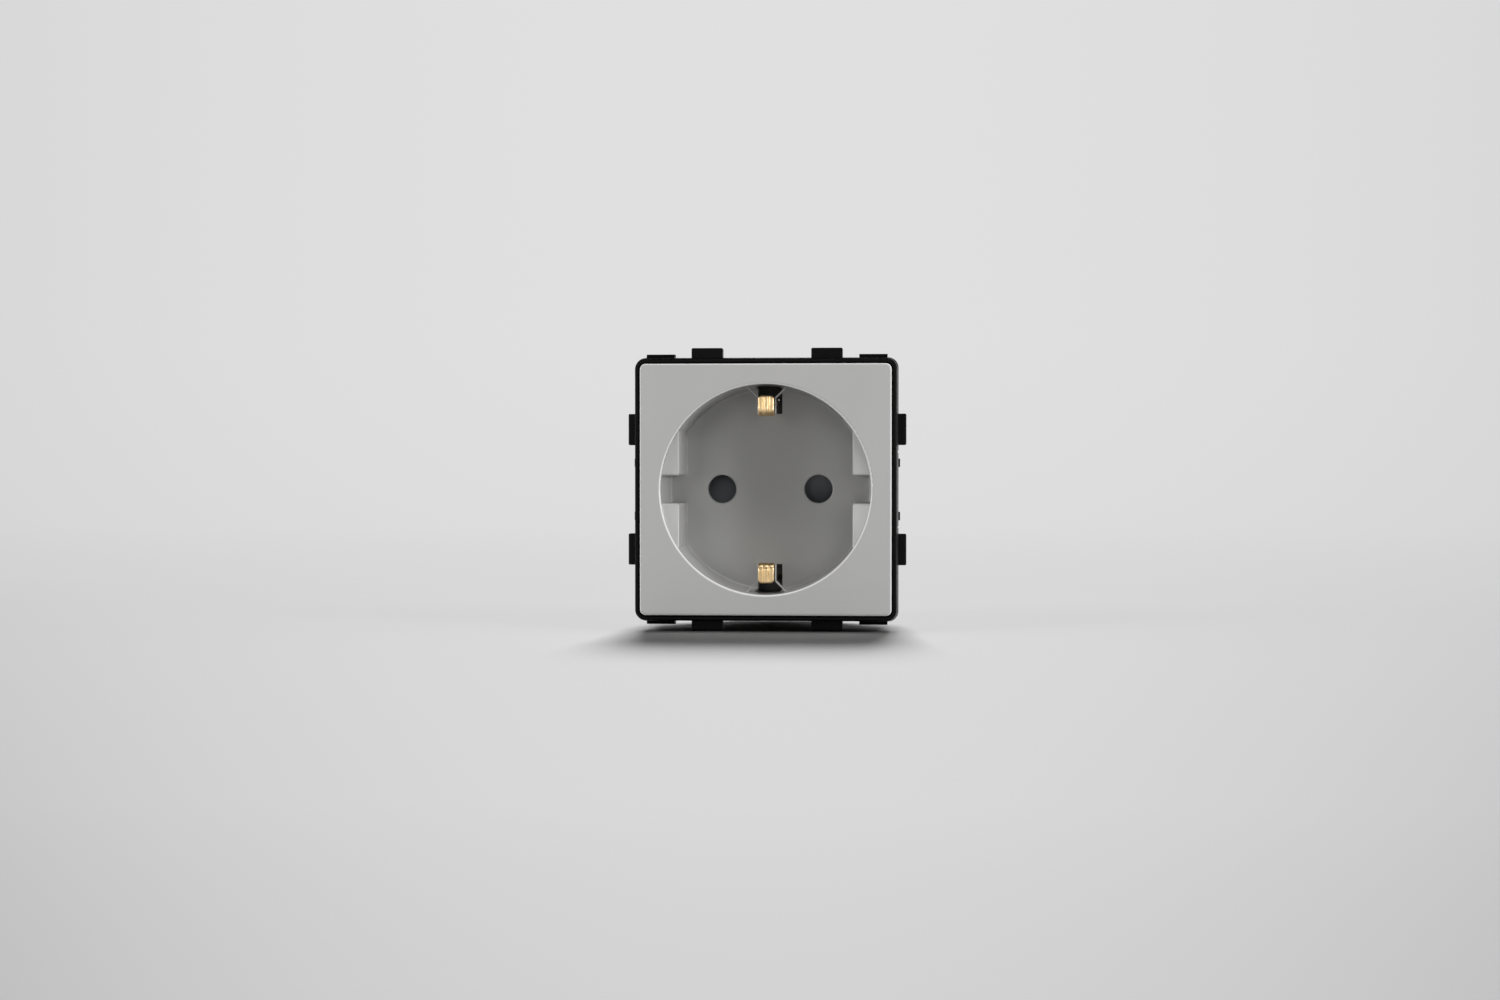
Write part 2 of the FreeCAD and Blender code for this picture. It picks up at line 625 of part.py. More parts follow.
def terminal_room():
    """Room for a terminal on the right, with its screw window and wire entry."""
    gap = CAGE_CLEARANCE
    half = CAGE_WIDTH / 2 + gap
    room = box(CAGE_INNER_X - gap, CAGE_OUTER_X + gap, SHOULDER_Y - PAST, CAGE_REAR_Y, -half, half)
    start = V(CAGE_OUTER_X - PAST, TERMINAL_Y, 0)
    window = Part.makeCylinder(TERMINAL_WINDOW_R, HOUSING_SIZE, start, OUT_RIGHT)
    entry = rod(WIRE_HOLE_R, CAGE_REAR_Y - PAST, HOUSING_DEPTH + PAST, WIRE_X)
    funnel_y = HOUSING_DEPTH - WIRE_FUNNEL
    funnel = taper(WIRE_HOLE_R, WIRE_HOLE_R + WIRE_FUNNEL, funnel_y, HOUSING_DEPTH, WIRE_X)
    return fused([room, window, entry, funnel])


def make_rear_housing():
    cuts = [rod(BORE_R, HOUSING_FRONT_Y - PAST, SHOULDER_Y)] + coring()
    groove_half = YOKE_WIDTH / 2 + YOKE_GROOVE_GAP
    groove_end = CLIP_LEG_R + STRIP_THICK / 2 + YOKE_GROOVE_GAP
    cuts.append(box(-groove_half, groove_half, SHOULDER_Y - PAST, YOKE_REAR_Y, -groove_end, groove_end))
    cuts += [turned(contact_pocket(), degrees) for degrees in (0, 180)]
    cuts += [at_pole(terminal_room(), pole) for pole in POLE_DEGREES]
    cuts += [turned(groove, quarter * 90) for quarter in range(4) for groove in side_grooves()]
    screw_end = SHOULDER_Y + YOKE_SCREW_LENGTH
    cuts += [rod(YOKE_SCREW_R, SHOULDER_Y, screw_end, 0, z) for z in (-YOKE_SCREW_Z, YOKE_SCREW_Z)]
    boss_room_r = BOSS_R + BOSS_CLEARANCE
    cuts += on_corner_screws(lambda x, z: rod(boss_room_r, HOUSING_FRONT_Y - PAST, BOSS_INTO_HOUSING, x, z))
    shank_room_r = SCREW_R + BOSS_CLEARANCE
    cuts += on_corner_screws(lambda x, z: rod(shank_room_r, 0, SCREW_SEAT_Y + PAST, x, z))
    return housing_block().cut(cuts)


# Shutter, its base and its spring

def make_shutter_base():
    """Disc behind the shutter, with the pivot, the travel stops and a rim that meets the cup."""
    outer_r = BORE_R - CUP_CLEARANCE / 2
    disc = rod(outer_r, BASE_Y, SHOULDER_Y)
    rim = rod(outer_r, CUP_REAR_Y, BASE_Y).cut(rod(outer_r - BASE_RIM_WALL, CUP_REAR_Y, BASE_Y))
    pivot = rod(PIVOT_R, SHUTTER_FRONT_Y, BASE_Y)
    post = rod(STOP_R, SHUTTER_FRONT_Y, BASE_Y, STOP_CIRCLE_R)
    post_deg = math.degrees(math.asin(STOP_R / STOP_CIRCLE_R))
    shut_deg = -(SHUTTER_HALF_DEG + post_deg + STOP_GAP_DEG)
    open_deg = SHUTTER_TRAVEL_DEG + SHUTTER_HALF_DEG + post_deg + STOP_GAP_DEG
    posts = [turned(post, angle + half_turn) for angle in (shut_deg, open_deg) for half_turn in (0, 180)]
    post_x = SPRING_LEG_END_R - SPRING_POST_R
    spring_post = rod(SPRING_POST_R, BASE_Y - SPRING_POST_HEIGHT, BASE_Y, post_x)
    beside_leg_deg = math.degrees(math.asin((SPRING_POST_R + SPRING_WIRE_R) / post_x))
    spring_post = turned(spring_post, SPRING_LEG_DEG + beside_leg_deg)
    base = fused([disc, rim, pivot] + posts + [spring_post])
    cuts = []
    for sx in (-1, 1):
        cuts.append(rod(PIN_HOLE_R, BASE_Y - PAST, SHOULDER_Y + PAST, sx * PIN_X))
        funnel_y = BASE_Y + BASE_FUNNEL
        cuts.append(taper(PIN_HOLE_R + BASE_FUNNEL, PIN_HOLE_R, BASE_Y, funnel_y, sx * PIN_X))
    half = CLIP_WIDTH / 2 + CLIP_CLEARANCE
    slot_z0 = CLIP_BOW_R - STRIP_THICK / 2 - CLIP_CLEARANCE
    slot_z1 = CLIP_TIP_R + CLIP_CLEARANCE
    slot = box(-half, half, BASE_Y - PAST, SHOULDER_Y + PAST, slot_z0, slot_z1)
    cuts += [slot, turned(slot, 180)]
    return base.cut(cuts)


def shutter_arm():
    """Right arm. Its face looks down: it is thick at its upper side and thin at its lower side."""
    arm = sector(HUB_R / 2, SHUTTER_R, SHUTTER_HALF_DEG, SHUTTER_FRONT_Y, SHUTTER_REAR_Y)
    reach = SHUTTER_R * math.sin(math.radians(SHUTTER_HALF_DEG))
    ahead_y = SHUTTER_FRONT_Y - PAST
    section = [
        V(HUB_R, ahead_y, reach),
        V(HUB_R, SHUTTER_FRONT_Y, reach),
        V(HUB_R, SHUTTER_REAR_Y - SHUTTER_THIN, -reach),
        V(HUB_R, ahead_y, -reach),
    ]
    return arm.cut(Part.Face(Part.makePolygon(section + section[:1])).extrude(V(SHUTTER_R, 0, 0)))


def make_shutter():
    """Two arms on a hub. The arms' faces slope in opposite ways, so that two pins together turn it."""
    hub = rod(HUB_R, SHUTTER_FRONT_Y, SHUTTER_REAR_Y)
    body = fused([hub, shutter_arm(), turned(shutter_arm(), 180)])
    behind_y = SHUTTER_REAR_Y + PAST
    pocket = rod(POCKET_OUTER_R, POCKET_Y, behind_y).cut(rod(POCKET_INNER_R, POCKET_Y, behind_y))
    half_deg = SHUTTER_TRAVEL_DEG / 2 + WINDOW_MARGIN_DEG
    window = sector(SPRING_COIL_R, HUB_R + PAST, half_deg, POCKET_Y, behind_y)
    window = turned(window, SPRING_LEG_DEG - SHUTTER_TRAVEL_DEG / 2)
    bore = rod(PIVOT_R + PIVOT_CLEARANCE, SHUTTER_FRONT_Y - PAST, behind_y)
    anchor_r = SPRING_WIRE_R + SPRING_ROOM / 2
    anchor_length = SPRING_ANCHOR_R + SPRING_ROOM / 2 - SPRING_COIL_R
    anchor = Part.makeCylinder(anchor_r, anchor_length, V(SPRING_COIL_R, SPRING_FIRST_Y, 0), OUT_RIGHT)
    return body.cut([pocket, window, bore, anchor])


def make_shutter_spring():
    """Torsion spring in the hub: one leg in the shutter, the other at the post of the base."""
    helix = Part.makeHelix(SPRING_PITCH, SPRING_HEIGHT, SPRING_COIL_R)
    section = Part.Wire(Part.makeCircle(SPRING_WIRE_R, V(SPRING_COIL_R, 0, 0), V(0, 1, 0)))
    coil = Part.Wire(helix).makePipeShell([section], True, True)
    coil.rotate(CENTRE, V(1, 0, 0), -90)
    coil.translate(V(0, SPRING_FIRST_Y, 0))

    def leg(y, end_r, degrees):
        start = V(SPRING_COIL_R, y, 0)
        straight = Part.makeCylinder(SPRING_WIRE_R, end_r - SPRING_COIL_R, start, OUT_RIGHT)
        return turned(straight.fuse(Part.makeSphere(SPRING_WIRE_R, start)), degrees)

    fixed_leg = leg(SPRING_LAST_Y, SPRING_LEG_END_R, SPRING_LEG_DEG)
    moving_leg = leg(SPRING_FIRST_Y, SPRING_ANCHOR_R, 0)
    return coil.fuse([fixed_leg, moving_leg])


# Contacts, grip springs and terminals

def make_contact():
    """Line contact: two leaves that grip the pin, folded from one strip with its terminal tail."""
    t = CONTACT_THICK
    rear_y = REAR_INNER_Y - t / 2
    waist_z = CONTACT_WAIST + t / 2
    heel_z = CONTACT_MOUTH - t / 2
    half_profile = [
        V(PIN_X, rear_y, 0),
        V(PIN_X, rear_y, heel_z),
        V(PIN_X, WAIST_END_Y + CONTACT_SHOULDER, heel_z),
        V(PIN_X, WAIST_END_Y, waist_z),
        V(PIN_X, WAIST_Y, waist_z),
        V(PIN_X, CONTACT_FRONT_Y, CONTACT_MOUTH + t / 2),
    ]
    radii = [CONTACT_BEND_R, CONTACT_BEND_R, CONTACT_BEND_R, CONTACT_BEND_R]
    leaf = folded_strip(half_profile, radii, t, CONTACT_WIDTH)
    other = leaf.mirror(CENTRE, V(0, 0, 1))
    tail_x = TAIL_X + t / 2
    tail_points = [
        V(PIN_X, rear_y, 0),
        V(tail_x, rear_y, 0),
        V(tail_x, CAGE_FRONT_Y, 0),
    ]
    tail = folded_strip(tail_points, [CONTACT_BEND_R], t, TAIL_WIDTH)
    return fused([leaf, other, tail])


def make_grip_spring():
    """Split steel ring round the contact's waist."""
    outer_z = CONTACT_WAIST + CONTACT_THICK + GRIP_THICK
    outer_x = CONTACT_WIDTH / 2 + GRIP_THICK
    y0 = WAIST_Y + (CONTACT_WAIST_LENGTH - GRIP_WIDTH) / 2
    ring = rounded_block(2 * outer_x, 2 * outer_z, y0, y0 + GRIP_WIDTH, GRIP_THICK)
    hole_x = outer_x - GRIP_THICK
    hole_z = outer_z - GRIP_THICK
    front_y = y0 - PAST
    rear_y = y0 + GRIP_WIDTH + PAST
    ring = ring.cut(box(-hole_x, hole_x, front_y, rear_y, -hole_z, hole_z))
    ring = ring.cut(box(-outer_x - PAST, 0, front_y, rear_y, -GRIP_SLIT / 2, GRIP_SLIT / 2))
    ring.translate(V(PIN_X, 0, 0))
    return ring


def make_terminal():
    """Cage of a screw terminal on the right side."""
    half = CAGE_WIDTH / 2
    cage = box(CAGE_INNER_X, CAGE_OUTER_X, CAGE_FRONT_Y, CAGE_REAR_Y, -half, half)
    cage = cage.makeFillet(CAGE_CORNER_R, edges_where(cage, lambda e: runs_along(e, INTO_WALL)))
    inner = half - CAGE_WALL
    room = box(TAIL_X, CAGE_OUTER_X - CAGE_WALL, CAGE_FRONT_Y - PAST, CAGE_REAR_Y + PAST, -inner, inner)
    thread = Part.makeCylinder(TERMINAL_SCREW_R, CAGE_OUTER_X, V(CLAMP_X, TERMINAL_Y, 0), OUT_RIGHT)
    return cage.cut([room, thread])


def make_pressure_plate():
    half_z = CAGE_WIDTH / 2 - CAGE_WALL - CLAMP_PLAY
    half_y = CLAMP_LENGTH / 2
    y0 = TERMINAL_Y - half_y
    plate = box(CLAMP_X, CLAMP_X + CLAMP_THICK, y0, y0 + CLAMP_LENGTH, -half_z, half_z)
    ends = edges_where(plate, lambda e: runs_along(e, V(0, 0, 1)) and e.BoundBox.XMax < CLAMP_X + 0.01)
    return plate.makeFillet(CLAMP_THICK / 2, ends)


def make_terminal_screw():
    tip_x = CLAMP_X + CLAMP_THICK
    head_x = CAGE_OUTER_X + TERMINAL_HEAD_GAP
    top_x = head_x + TERMINAL_HEAD_THICK
    start = V(tip_x, TERMINAL_Y, 0)
    shank = Part.makeCylinder(TERMINAL_SCREW_R, head_x + SINK - tip_x, start, OUT_RIGHT)
    head = Part.makeCylinder(TERMINAL_HEAD_R, TERMINAL_HEAD_THICK, V(head_x, TERMINAL_Y, 0), OUT_RIGHT)
    rim = edges_where(head, lambda e: e.BoundBox.XMin > top_x - 0.01)
    head = head.makeFillet(TERMINAL_HEAD_EDGE_R, rim)
    half = TERMINAL_SLOT / 2
    slot_x = top_x - TERMINAL_HEAD_THICK / 2
    reach = TERMINAL_CROSS_REACH
    across = TERMINAL_HEAD_R + PAST
    slot = box(slot_x, top_x + PAST, TERMINAL_Y - across, TERMINAL_Y + across, -half, half)
    cross = box(slot_x, top_x + PAST, TERMINAL_Y - half, TERMINAL_Y + half, -reach, reach)
    return fused([shank, head]).cut([slot, cross])


# Earth yoke and its screws

def earth_clip():
    """Upper half of the yoke: base strip, leg and bow, with two rolled lines and a rounded tip."""
    t = STRIP_THICK
    base_y = SHOULDER_Y + t / 2
    front_y = FACE_Y + CLIP_BELOW_FACE + t / 2
    points = [
        V(0, base_y, 0),
        V(0, base_y, CLIP_LEG_R),
        V(0, FLOOR_Y + CLIP_LEG_BELOW_FLOOR, CLIP_LEG_R),
        V(0, front_y, CLIP_BOW_R),
        V(0, front_y + CLIP_TIP_DROP, CLIP_TIP_R),
    ]
    radii = [CLIP_HEEL_R, CLIP_LEG_BEND_R, CLIP_BEND_R]
    clip = folded_strip(points, radii, t, CLIP_WIDTH)
    corners = edges_where(
        clip, lambda e: e.BoundBox.ZMin > CLIP_TIP_R - 0.1 and e.BoundBox.YLength > t / 2)
    clip = clip.makeFillet(CLIP_END_CORNER_R, corners)
    line = folded_strip(points[1:], radii[1:], t + PAST, CLIP_LINE_WIDTH)
    line = line.cut(folded_strip(points[1:], radii[1:], t - 2 * CLIP_LINE_DEPTH, CLIP_WIDTH))
    line = line.common(box(-CLIP_WIDTH, CLIP_WIDTH, FACE_Y, FLOOR_Y, 0, RECESS_R))
    lines = []
    for side in (-1, 1):
        lines.append(line.copy())
        lines[-1].translate(V(side * CLIP_LINE_X, 0, 0))
    return clip.cut(lines)


def make_earth_yoke():
    """One folded strip: a base across the housing, a clip at each end and a tail to the terminal."""
    half = YOKE_WIDTH / 2
    end = CLIP_LEG_R - YOKE_SHOULDER
    base = box(-half, half, SHOULDER_Y, YOKE_REAR_Y, -end, end)
    base = base.makeFillet(YOKE_CORNER_R, edges_where(base, lambda e: runs_along(e, INTO_WALL)))
    half_tail = TAIL_WIDTH / 2
    tail_y = YOKE_REAR_Y - STRIP_THICK / 2
    tail_z1 = YOKE_TAIL_Z + CONTACT_THICK
    tail = box(-half_tail, half_tail, tail_y, CAGE_REAR_Y, YOKE_TAIL_Z, tail_z1)
    yoke = fused([base, earth_clip(), turned(earth_clip(), 180), tail])
    return yoke.cut([yoke_screw_head(z) for z in (-YOKE_SCREW_Z, YOKE_SCREW_Z)])


def yoke_screw_head(z):
    """Countersunk head, which is also the shape of its hole in the yoke."""
    return taper(YOKE_SCREW_HEAD_R, YOKE_SCREW_R, SHOULDER_Y, YOKE_REAR_Y, 0, z)


def cross_slot(y_head, x, z, depth):
    """Cross recess from a screw head's face at y_head; the depth is negative towards the room."""
    low = min(y_head, y_head + depth)
    high = max(y_head, y_head + depth)
    half = CROSS_WIDTH / 2
    reach = CROSS_REACH
    first = box(x - reach, x + reach, low, high, z - half, z + half)
    second = box(x - half, x + half, low, high, z - reach, z + reach)
    return first.fuse(second)


def make_yoke_screws():
    screws = []
    for z in (-YOKE_SCREW_Z, YOKE_SCREW_Z):
        shank = rod(YOKE_SCREW_R, YOKE_REAR_Y, SHOULDER_Y + YOKE_SCREW_LENGTH, 0, z)
        screw = fused([yoke_screw_head(z), shank])
        screws.append(screw.cut(cross_slot(SHOULDER_Y, 0, z, CROSS_DEPTH)))
    return Part.makeCompound(screws)


def housing_screw(x, z):
    top_y = SCREW_SEAT_Y + SCREW_HEAD_THICK
    head = rod(SCREW_HEAD_R, SCREW_SEAT_Y, top_y, x, z)
    head = head.makeFillet(SCREW_HEAD_EDGE_R, edges_where(head, lambda e: lies_in_y(e, top_y)))
    shank = rod(SCREW_R, BOSS_INTO_HOUSING - SCREW_BITE, SCREW_SEAT_Y, x, z)
    return fused([head, shank]).cut(cross_slot(top_y, x, z, -CROSS_DEPTH))


# All nodes, each in its place

def all_nodes():
    nodes = {
        "front_cover": make_front_cover(),
        "carrier_frame": make_carrier_frame(),
        "rear_housing": make_rear_housing(),
        "shutter_base": make_shutter_base(),
        "shutter": make_shutter(),
        "shutter_spring": make_shutter_spring(),
        "earth_yoke": make_earth_yoke(),
        "yoke_screws": make_yoke_screws(),
        "housing_screws": Part.makeCompound(on_corner_screws(housing_screw)),
    }
    for pole in ("line", "neutral"):
        nodes[pole + "_contact"] = at_pole(make_contact(), pole)
        nodes[pole + "_grip_spring"] = at_pole(make_grip_spring(), pole)
    for pole in POLE_DEGREES:
        nodes[pole + "_terminal"] = at_pole(make_terminal(), pole)
        nodes[pole + "_pressure_plate"] = at_pole(make_pressure_plate(), pole)
        nodes[pole + "_terminal_screw"] = at_pole(make_terminal_screw(), pole)
    return nodes


os.makedirs("parts", exist_ok=True)
for name, shape in all_nodes().items():
    print(name, "solids", len(shape.Solids), "valid", shape.isValid(), "volume", round(shape.Volume, 1))
    shape.exportStep("parts/" + name + ".step")
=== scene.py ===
"""Looks of a snap-in wall socket: materials, clip collars, torsion spring, lamps and camera."""
import json
import math

import bpy
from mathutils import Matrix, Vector


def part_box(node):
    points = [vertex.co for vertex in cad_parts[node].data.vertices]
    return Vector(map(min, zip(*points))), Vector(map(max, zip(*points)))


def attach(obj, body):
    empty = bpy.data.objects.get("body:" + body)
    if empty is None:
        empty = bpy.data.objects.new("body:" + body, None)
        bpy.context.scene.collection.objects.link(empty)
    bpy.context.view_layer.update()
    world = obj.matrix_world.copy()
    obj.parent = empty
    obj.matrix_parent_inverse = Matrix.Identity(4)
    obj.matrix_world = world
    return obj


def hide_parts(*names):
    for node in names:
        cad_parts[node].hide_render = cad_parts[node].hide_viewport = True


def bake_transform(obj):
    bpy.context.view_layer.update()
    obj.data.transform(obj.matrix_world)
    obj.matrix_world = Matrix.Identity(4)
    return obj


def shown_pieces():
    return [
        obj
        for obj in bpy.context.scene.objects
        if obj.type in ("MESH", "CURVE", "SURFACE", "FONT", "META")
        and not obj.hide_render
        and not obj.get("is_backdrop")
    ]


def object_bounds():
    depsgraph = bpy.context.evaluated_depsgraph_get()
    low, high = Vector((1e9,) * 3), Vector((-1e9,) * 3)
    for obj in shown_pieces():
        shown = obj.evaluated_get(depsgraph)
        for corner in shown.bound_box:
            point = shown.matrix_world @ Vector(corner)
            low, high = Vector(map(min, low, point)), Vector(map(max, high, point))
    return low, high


MM = 0.001

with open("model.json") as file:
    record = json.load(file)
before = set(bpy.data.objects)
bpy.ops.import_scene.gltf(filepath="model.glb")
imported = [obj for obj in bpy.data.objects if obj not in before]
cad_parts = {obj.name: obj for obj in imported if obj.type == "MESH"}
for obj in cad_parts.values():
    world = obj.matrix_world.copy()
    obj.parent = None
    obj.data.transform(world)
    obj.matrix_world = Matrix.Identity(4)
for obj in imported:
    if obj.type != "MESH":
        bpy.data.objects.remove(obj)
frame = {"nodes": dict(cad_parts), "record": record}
cad_low, cad_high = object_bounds()

FACE_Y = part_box("front_cover")[0][1]
FLOOR_Z = cad_low[2]


# Node helpers

# Sockets of a mix node, which has no unlike names for them: its factor, then numbers and colours
MIX_FACTOR = 0
NUMBER_FIRST = 2
NUMBER_SECOND = 3
COLOUR_FIRST = 6
COLOUR_SECOND = 7
NUMBER_MIXED = 0
COLOUR_MIXED = 2

# The range that most values of a noise texture lie in
NOISE_LOW = 0.3
NOISE_HIGH = 0.7

BEVEL_SAMPLES = 8


def node(tree, kind, **inputs):
    """A shader node with its inputs set by name; names with spaces come as underscores."""
    made = tree.nodes.new(kind)
    for key, value in inputs.items():
        made.inputs[key.replace("_", " ")].default_value = value
    return made


def link(tree, out_node, out_name, in_node, in_name):
    tree.links.new(out_node.outputs[out_name], in_node.inputs[in_name])


def new_material(name, colour, roughness, metallic=0.0, specular=0.5):
    """A material with a principled shader, its node tree and the shader node."""
    material = bpy.data.materials.new(name)
    material.use_nodes = True
    tree = material.node_tree
    shader = tree.nodes["Principled BSDF"]
    shader.inputs["Base Color"].default_value = (*colour, 1.0)
    shader.inputs["Roughness"].default_value = roughness
    shader.inputs["Metallic"].default_value = metallic
    shader.inputs["Specular IOR Level"].default_value = specular
    return material, tree, shader


def object_coordinates(tree, scale=(1.0, 1.0, 1.0)):
    """Object coordinates in metres, stretched by scale."""
    coordinates = tree.nodes.new("ShaderNodeTexCoord")
    mapping = tree.nodes.new("ShaderNodeMapping")
    mapping.inputs["Scale"].default_value = scale
    link(tree, coordinates, "Object", mapping, "Vector")
    return mapping


def noise(tree, source, size, detail=3.0, roughness=0.5):
    """Noise whose grains are about as large as size, in metres."""
    made = node(tree, "ShaderNodeTexNoise", Scale=1.0 / size, Detail=detail, Roughness=roughness)
    link(tree, source, "Vector", made, "Vector")
    return made


def map_range(tree, value, from_min=0.0, from_max=1.0, to_min=0.0, to_max=1.0):
    """The value of a socket, moved from one range onto another."""
    made = tree.nodes.new("ShaderNodeMapRange")
    made.inputs["From Min"].default_value = from_min
    made.inputs["From Max"].default_value = from_max
    made.inputs["To Min"].default_value = to_min
    made.inputs["To Max"].default_value = to_max
    tree.links.new(value, made.inputs["Value"])
    return made.outputs["Result"]


def spread(tree, texture, low, high):
    """A noise texture's value, spread over low to high."""
    return map_range(tree, texture.outputs["Fac"], NOISE_LOW, NOISE_HIGH, low, high)


def colour_between(tree, factor, first, second):
    """A mix of two colours, of which the first may be a socket."""
    made = tree.nodes.new("ShaderNodeMix")
    made.data_type = "RGBA"
    if isinstance(first, tuple):
        made.inputs[COLOUR_FIRST].default_value = (*first, 1.0)
    else:
        tree.links.new(first, made.inputs[COLOUR_FIRST])
    made.inputs[COLOUR_SECOND].default_value = (*second, 1.0)
    tree.links.new(factor, made.inputs[MIX_FACTOR])
    return made.outputs[COLOUR_MIXED]


def object_axes(tree):
    """Object coordinates in metres, taken apart into X, Y and Z."""
    place = tree.nodes.new("ShaderNodeTexCoord")
    parts = tree.nodes.new("ShaderNodeSeparateXYZ")
    link(tree, place, "Object", parts, "Vector")
    return parts


def add_bump(tree, shader, texture, distance, edge_radius):
    """Fine relief from a texture, with edges that catch the light as if rounded."""
    bump = node(tree, "ShaderNodeBump", Distance=distance)
    link(tree, texture, "Fac", bump, "Height")
    link(tree, bump, "Normal", shader, "Normal")
    if edge_radius > 0:
        rounded = node(tree, "ShaderNodeBevel", Radius=edge_radius)
        rounded.samples = BEVEL_SAMPLES
        link(tree, rounded, "Normal", bump, "Normal")


def calculate(tree, operation, first, second):
    """A maths node on two values, each a number or a socket."""
    made = tree.nodes.new("ShaderNodeMath")
    made.operation = operation
    for place, value in enumerate((first, second)):
        if isinstance(value, float):
            made.inputs[place].default_value = value
        else:
            tree.links.new(value, made.inputs[place])
    return made.outputs[0]


# Materials

CLOUD_SIZE = 14 * MM
LINE_SIZE = 0.12 * MM
TARNISH_SIZE = 2.5 * MM

# Depths below the face plate: the recess is polished, and the edge at the face has a painted
# highlight, a lighter base colour
POLISH_FROM = 0.1 * MM
POLISH_FULL = 0.4 * MM
RIM_HIGHLIGHT_START = 0.02 * MM
RIM_HIGHLIGHT_END = 0.34 * MM
RIM_HIGHLIGHT_FADE = 0.03 * MM


def moulded_plastic(name, dark, light, roughness, grain, grain_depth, specular=0.5,
                    edge_radius=0.0):
    """Moulded plastic: slightly uneven colour, a fine grain and a roughness that varies with it."""
    mean = tuple((a + b) / 2 for a, b in zip(dark, light))
    material, tree, shader = new_material(name, mean, sum(roughness) / 2, specular=specular)
    place = object_coordinates(tree)
    clouds = noise(tree, place, CLOUD_SIZE, 2.0)
    tint = colour_between(tree, spread(tree, clouds, 0.0, 1.0), dark, light)
    tree.links.new(tint, shader.inputs["Base Color"])
    grains = noise(tree, place, grain, 2.0)
    tree.links.new(spread(tree, grains, *roughness), shader.inputs["Roughness"])
    add_bump(tree, shader, grains, grain_depth, edge_radius)
    return material


def moulded_cover(name, dark, light, rim_highlight_tone, face_roughness, recess_roughness, grain,
                  grain_depth, edge_radius):
    """Moulded plastic with a satin face plate, a polished recess and a painted highlight, a lighter
    base colour, on the edge at the face.
    """
    material = moulded_plastic(name, dark, light, face_roughness, grain, grain_depth,
                               edge_radius=edge_radius)
    tree = material.node_tree
    shader = tree.nodes["Principled BSDF"]
    depth_in = object_axes(tree).outputs["Y"]

    def past(depth, fade):
        """Zero up to a depth below the face and one beyond it."""
        return map_range(tree, depth_in, FACE_Y + depth, FACE_Y + depth + fade)

    gloss = tree.nodes.new("ShaderNodeMix")
    tree.links.new(past(POLISH_FROM, POLISH_FULL - POLISH_FROM), gloss.inputs[MIX_FACTOR])
    satin = shader.inputs["Roughness"].links[0].from_socket
    tree.links.new(satin, gloss.inputs[NUMBER_FIRST])
    gloss.inputs[NUMBER_SECOND].default_value = recess_roughness
    tree.links.new(gloss.outputs[NUMBER_MIXED], shader.inputs["Roughness"])
    # Painted highlight: the base colour turns light in a thin band just below the face, where the
    # recess edge rounds over
    rim_highlight = calculate(tree, "SUBTRACT", past(RIM_HIGHLIGHT_START, RIM_HIGHLIGHT_FADE), past(RIM_HIGHLIGHT_END, RIM_HIGHLIGHT_FADE))
    tint = shader.inputs["Base Color"].links[0].from_socket
    highlighted_tint = colour_between(tree, rim_highlight, tint, (rim_highlight_tone, rim_highlight_tone, rim_highlight_tone))
    tree.links.new(highlighted_tint, shader.inputs["Base Color"])
    return material


def rolled_metal(name, dark, light, roughness, stretch, line_depth, edge_radius=0.1 * MM):
    """Rolled or drawn metal with fine lines along the strip and faint tarnish."""
    mean = tuple((a + b) / 2 for a, b in zip(dark, light))
    material, tree, shader = new_material(name, mean, sum(roughness) / 2, metallic=1.0)
    lines = noise(tree, object_coordinates(tree, stretch), LINE_SIZE, 3.0)
    tarnish = noise(tree, object_coordinates(tree), TARNISH_SIZE, 4.0, 0.6)
    tint = colour_between(tree, spread(tree, tarnish, 0.0, 1.0), dark, light)
    tree.links.new(tint, shader.inputs["Base Color"])
    tree.links.new(spread(tree, lines, *roughness), shader.inputs["Roughness"])
    add_bump(tree, shader, lines, line_depth, edge_radius)
    return material


def make_materials():
    """All materials by slot name."""
    plastics = {
        "black_frame": ((0.002, 0.002, 0.002), (0.004, 0.004, 0.004), (0.30, 0.42),
                        0.14 * MM, 0.005 * MM, 0.08),
        "black_housing": ((0.014, 0.014, 0.015), (0.022, 0.022, 0.023), (0.42, 0.58),
                          0.18 * MM, 0.008 * MM),
        "dark_insulator": ((0.035, 0.035, 0.037), (0.05, 0.05, 0.052), (0.45, 0.6),
                           0.15 * MM, 0.006 * MM),
        "shutter_plastic": ((0.11, 0.115, 0.13), (0.125, 0.13, 0.145), (0.35, 0.45),
                            0.12 * MM, 0.004 * MM),
    }
    metals = {
        "brass_strip": ((0.74, 0.53, 0.27), (0.84, 0.63, 0.36), (0.28, 0.36),
                        (1.0, 0.06, 0.06), 0.0012 * MM, 0.45 * MM),
        "brass_terminal": ((0.62, 0.43, 0.19), (0.74, 0.54, 0.27), (0.28, 0.4),
                           (1.0, 1.0, 0.1), 0.004 * MM),
        "spring_steel": ((0.5, 0.5, 0.51), (0.6, 0.6, 0.61), (0.2, 0.32),
                         (0.1, 1.0, 1.0), 0.003 * MM),
        "zinc_steel": ((0.58, 0.59, 0.61), (0.70, 0.70, 0.71), (0.25, 0.4),
                       (1.0, 1.0, 1.0), 0.004 * MM),
    }
    # The grey cover's 0.78 is the light base colour of the painted highlight on the edge at the
    # face
    made = {"grey_cover": moulded_cover("grey_cover", (0.452, 0.452, 0.444), (0.468, 0.467, 0.458),
                                        0.78, (0.40, 0.50), 0.22, 0.11 * MM, 0.004 * MM,
                                        0.4 * MM)}
    made.update((name, moulded_plastic(name, *look)) for name, look in plastics.items())
    made.update((name, rolled_metal(name, *look)) for name, look in metals.items())
    return made


